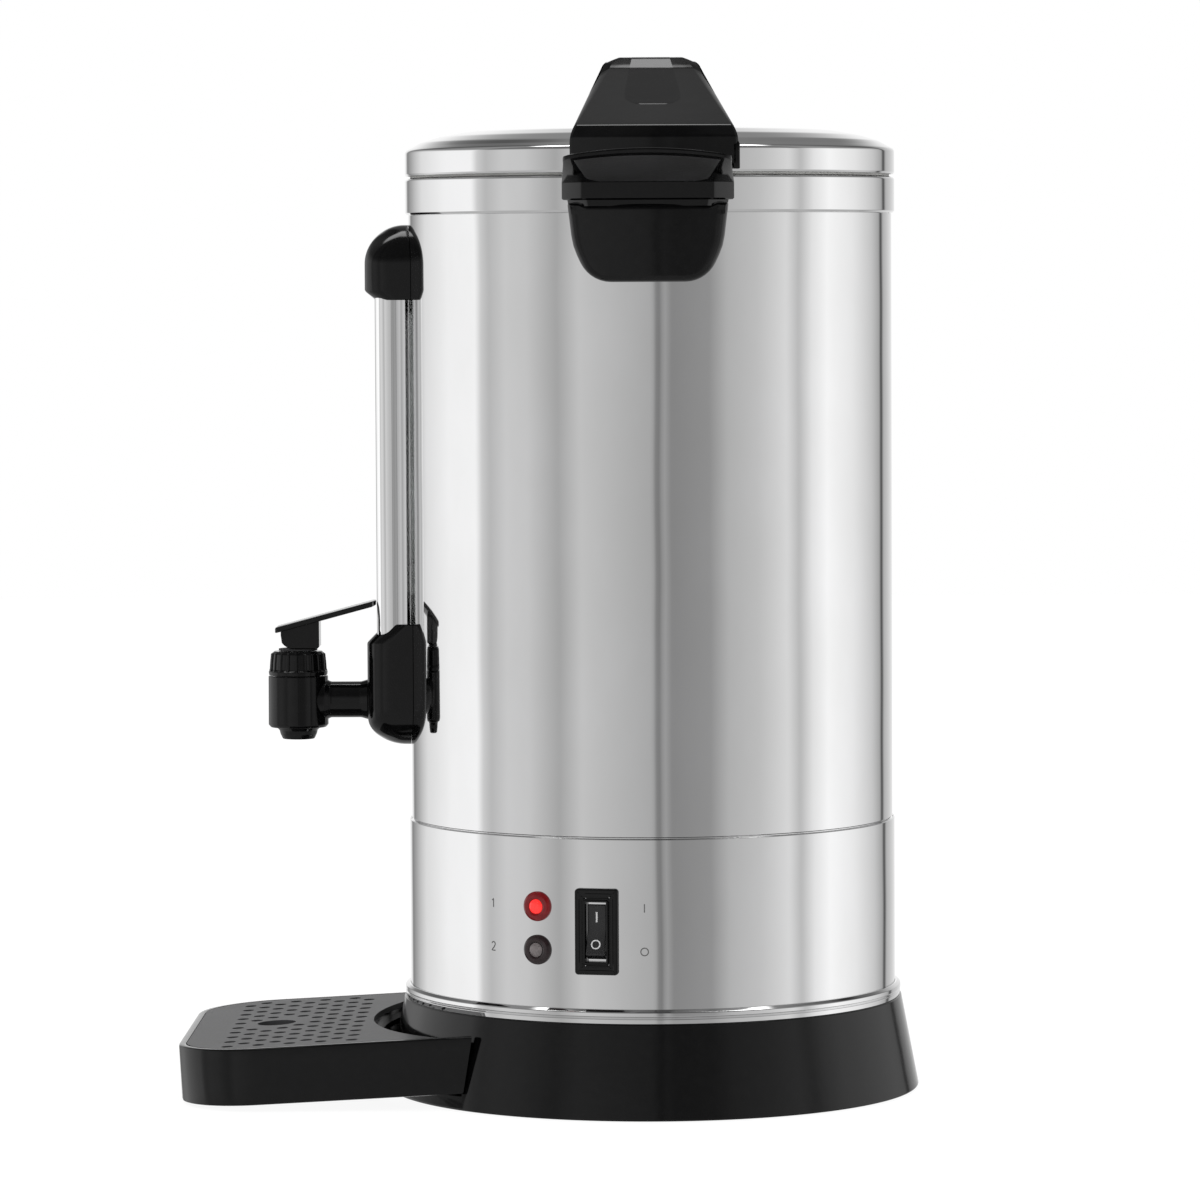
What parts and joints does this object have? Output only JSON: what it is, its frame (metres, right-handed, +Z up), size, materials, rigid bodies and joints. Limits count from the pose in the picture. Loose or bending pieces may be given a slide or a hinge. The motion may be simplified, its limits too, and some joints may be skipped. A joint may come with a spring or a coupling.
{
  "type": "hot water urn",
  "caption": "Electric hot water urn: polished steel tank on a black base, twist-and-lift lid, side sight gauge, swivelling self-closing tap and a loose drip tray.",
  "frame": {"origin": "centre of the urn's base on the table, on the tank's axis", "axes": "+Z up along the tank axis, -X towards the tap and drip tray, -Y towards the switch and lamps"},
  "size_m": [0.3414, 0.3, 0.4774],
  "materials": {
    "polished_steel": "mirror-polished stainless steel sheet",
    "satin_steel": "plain drawn stainless steel inside the tank",
    "black_gloss": "glossy black heat-resistant moulding",
    "black_satin": "satin dark grey moulding",
    "black_matte": "plain black moulding",
    "rubber": "black rubber",
    "silicone": "translucent white silicone",
    "white_plastic": "natural nylon",
    "zinc_steel": "zinc-plated steel hardware",
    "aluminium": "pressed aluminium plate",
    "element_steel": "heater sheath, heat-tinted",
    "brass": "plain brass terminals",
    "wire_red": "silicone-insulated wire",
    "lamp_lit": "red lens, lit",
    "lamp_dark": "smoked red lens, unlit",
    "gauge_glass": "clear glass tube"
  },
  "bodies": {
    "urn": {"tank_shell": "polished_steel", "rim_collar": "polished_steel", "lower_band": "polished_steel", "trim_ring": "polished_steel", "base_moulding": "black_gloss", "base_cover": "black_matte", "rubber_feet": "rubber", "cover_screws": "zinc_steel", "tie_rods": "zinc_steel", "heat_spreader": "aluminium", "boil_element": "element_steel", "warm_element": "element_steel", "sensor_bracket": "zinc_steel", "boil_thermostat": "white_plastic", "thermal_cutout": "white_plastic", "terminal_block": "white_plastic", "wiring": "wire_red", "inlet_housing": "black_matte", "inlet_pins": "brass", "inlet_screws": "zinc_steel", "switch_housing": "black_gloss", "boil_lamp": "lamp_lit", "warm_lamp": "lamp_dark", "lamp_nuts": "white_plastic", "front_handle": "black_gloss", "rear_handle": "black_gloss", "handle_screws": "zinc_steel", "handle_washers": "silicone", "gauge_glass": "gauge_glass", "gauge_guard": "polished_steel", "gauge_cap": "black_gloss", "gauge_screw": "zinc_steel", "gauge_seals": "silicone", "tap_housing": "black_gloss", "tap_body": "black_gloss", "tap_washer": "silicone", "tap_nut": "white_plastic", "bonnet": "black_gloss", "valve_spring": "zinc_steel"},
    "rocker": {"switch_rocker": "black_gloss"},
    "tap_turn": {"turn_washer": "black_matte"},
    "stem": {"stem": "white_plastic", "seat_cup": "silicone", "lever_pin": "zinc_steel"},
    "lever": {"lever": "black_gloss"},
    "lid_seal": {"lid_seal": "silicone"},
    "lid": {"lid_dome": "polished_steel", "lid_pan": "satin_steel", "lid_handle": "black_gloss", "lid_inlay": "black_gloss", "lid_screws": "zinc_steel"},
    "tray": {"tray_body": "black_gloss"},
    "grid": {"tray_grid": "black_satin"}
  },
  "joints": [
    {"name": "switch_rock", "type": "hinge", "parent": "urn", "child": "rocker", "pos_m": [-0.02341, -0.10646, 0.0844], "axis": [0.9767, -0.2147, 0], "range_deg": [0, 18.6]},
    {"name": "tap_swivel", "type": "hinge", "parent": "urn", "child": "tap_turn", "pos_m": [-0.1648, 0, 0.2041], "axis": [0, 0, 1], "continuous": true},
    {"name": "stem_lift", "type": "slide", "parent": "tap_turn", "child": "stem", "axis": [0, 0, 1], "range_m": [0, 0.00192], "deforming": ["valve_spring"]},
    {"name": "lever_tip", "type": "hinge", "parent": "stem", "child": "lever", "pos_m": [-0.1648, 0, 0.2106], "axis": [0, -1, 0], "range_deg": [0, 56.5]},
    {"name": "lid_lift", "type": "slide", "parent": "urn", "child": "lid_seal", "axis": [0, 0, 1], "range_m": [0, 0.16]},
    {"name": "lid_turn", "type": "hinge", "parent": "lid_seal", "child": "lid", "pos_m": [0, 0, 0.4227], "axis": [0, 0, 1], "range_deg": [-0.4, 30]},
    {"name": "tray_slide", "type": "slide", "parent": "urn", "child": "tray", "axis": [-1, 0, 0], "range_m": [0, 0.15]},
    {"name": "grid_lift", "type": "slide", "parent": "tray", "child": "grid", "axis": [0, 0, 1], "range_m": [0, 0.04]}
  ],
  "couplings": [
    {"joint": "lever_tip", "follows": "stem_lift", "rad_per_m": 500}
  ]
}
